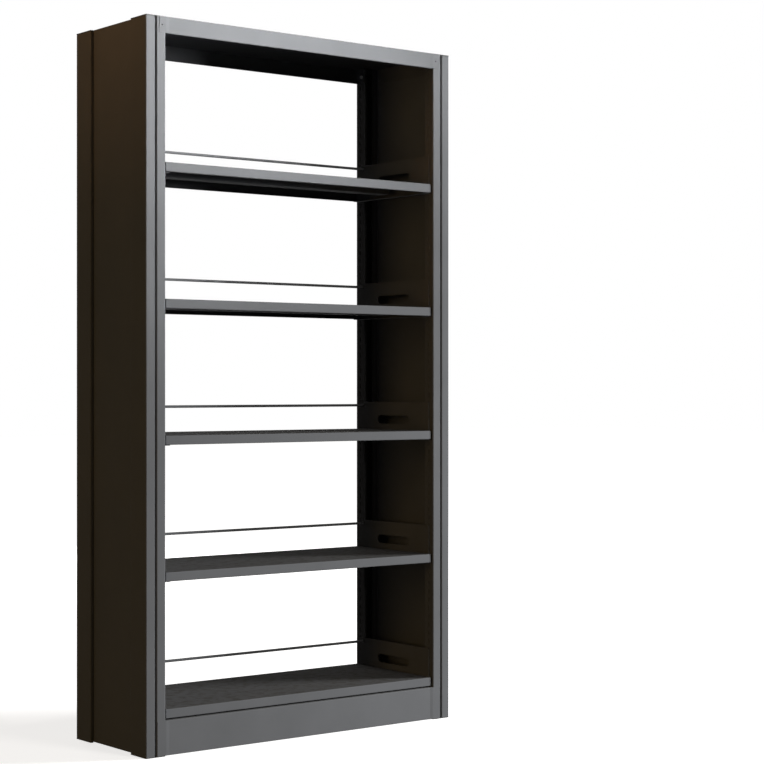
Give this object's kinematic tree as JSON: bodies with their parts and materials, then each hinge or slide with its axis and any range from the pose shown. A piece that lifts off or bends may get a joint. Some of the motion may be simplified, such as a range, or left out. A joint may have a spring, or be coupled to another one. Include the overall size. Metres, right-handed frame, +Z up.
{
  "type": "library shelving bay",
  "caption": "Free-standing open-backed steel library bay with slotted folded posts, recessed end panels, pan top, kick plates and hook-on adjustable shelves with rear stop rods.",
  "frame": {"origin": "middle of the footprint, on the floor", "axes": "+X along the bay to the right seen from the front, +Y from the front face to the rear, +Z up"},
  "size_m": [1.074, 0.384, 2.025],
  "materials": {
    "charcoal_paint": "satin charcoal powder coat",
    "rod_paint": "satin dark grey paint",
    "black_plastic": "matte moulded",
    "zinc_steel": "bright zinc plate"
  },
  "bodies": {
    "frame": {"front_left_post": "charcoal_paint", "front_left_cap": "black_plastic", "front_left_foot": "black_plastic", "front_right_post": "charcoal_paint", "front_right_cap": "black_plastic", "front_right_foot": "black_plastic", "rear_left_post": "charcoal_paint", "rear_left_cap": "black_plastic", "rear_left_foot": "black_plastic", "rear_right_post": "charcoal_paint", "rear_right_cap": "black_plastic", "rear_right_foot": "black_plastic", "left_end_panel": "charcoal_paint", "right_end_panel": "charcoal_paint", "top_panel": "charcoal_paint", "front_kick_plate": "charcoal_paint", "rear_kick_plate": "charcoal_paint", "front_left_top_bolt": "zinc_steel", "front_left_top_nut": "zinc_steel", "front_left_kick_bolt": "zinc_steel", "front_left_kick_nut": "zinc_steel", "front_right_top_bolt": "zinc_steel", "front_right_top_nut": "zinc_steel", "front_right_kick_bolt": "zinc_steel", "front_right_kick_nut": "zinc_steel", "rear_left_top_bolt": "zinc_steel", "rear_left_top_nut": "zinc_steel", "rear_left_kick_bolt": "zinc_steel", "rear_left_kick_nut": "zinc_steel", "rear_right_top_bolt": "zinc_steel", "rear_right_top_nut": "zinc_steel", "rear_right_kick_bolt": "zinc_steel", "rear_right_kick_nut": "zinc_steel"},
    "shelf_1_level": {"shelf_1": "charcoal_paint", "shelf_1_stiffener": "charcoal_paint", "shelf_1_left_bracket": "charcoal_paint", "shelf_1_right_bracket": "charcoal_paint", "shelf_1_rod": "rod_paint"},
    "shelf_2_level": {"shelf_2": "charcoal_paint", "shelf_2_stiffener": "charcoal_paint", "shelf_2_left_bracket": "charcoal_paint", "shelf_2_right_bracket": "charcoal_paint", "shelf_2_rod": "rod_paint"},
    "shelf_3_level": {"shelf_3": "charcoal_paint", "shelf_3_stiffener": "charcoal_paint", "shelf_3_left_bracket": "charcoal_paint", "shelf_3_right_bracket": "charcoal_paint", "shelf_3_rod": "rod_paint"},
    "shelf_4_level": {"shelf_4": "charcoal_paint", "shelf_4_stiffener": "charcoal_paint", "shelf_4_left_bracket": "charcoal_paint", "shelf_4_right_bracket": "charcoal_paint", "shelf_4_rod": "rod_paint"},
    "shelf_5_level": {"shelf_5": "charcoal_paint", "shelf_5_stiffener": "charcoal_paint", "shelf_5_left_bracket": "charcoal_paint", "shelf_5_right_bracket": "charcoal_paint", "shelf_5_rod": "rod_paint"}
  },
  "joints": [
    {"name": "shelf_1_lift", "type": "slide", "parent": "frame", "child": "shelf_1_level", "axis": [0, 0, 1], "range_m": [0, 0.008]},
    {"name": "shelf_2_lift", "type": "slide", "parent": "frame", "child": "shelf_2_level", "axis": [0, 0, 1], "range_m": [0, 0.008]},
    {"name": "shelf_3_lift", "type": "slide", "parent": "frame", "child": "shelf_3_level", "axis": [0, 0, 1], "range_m": [0, 0.008]},
    {"name": "shelf_4_lift", "type": "slide", "parent": "frame", "child": "shelf_4_level", "axis": [0, 0, 1], "range_m": [0, 0.008]},
    {"name": "shelf_5_lift", "type": "slide", "parent": "frame", "child": "shelf_5_level", "axis": [0, 0, 1], "range_m": [0, 0.008]}
  ]
}
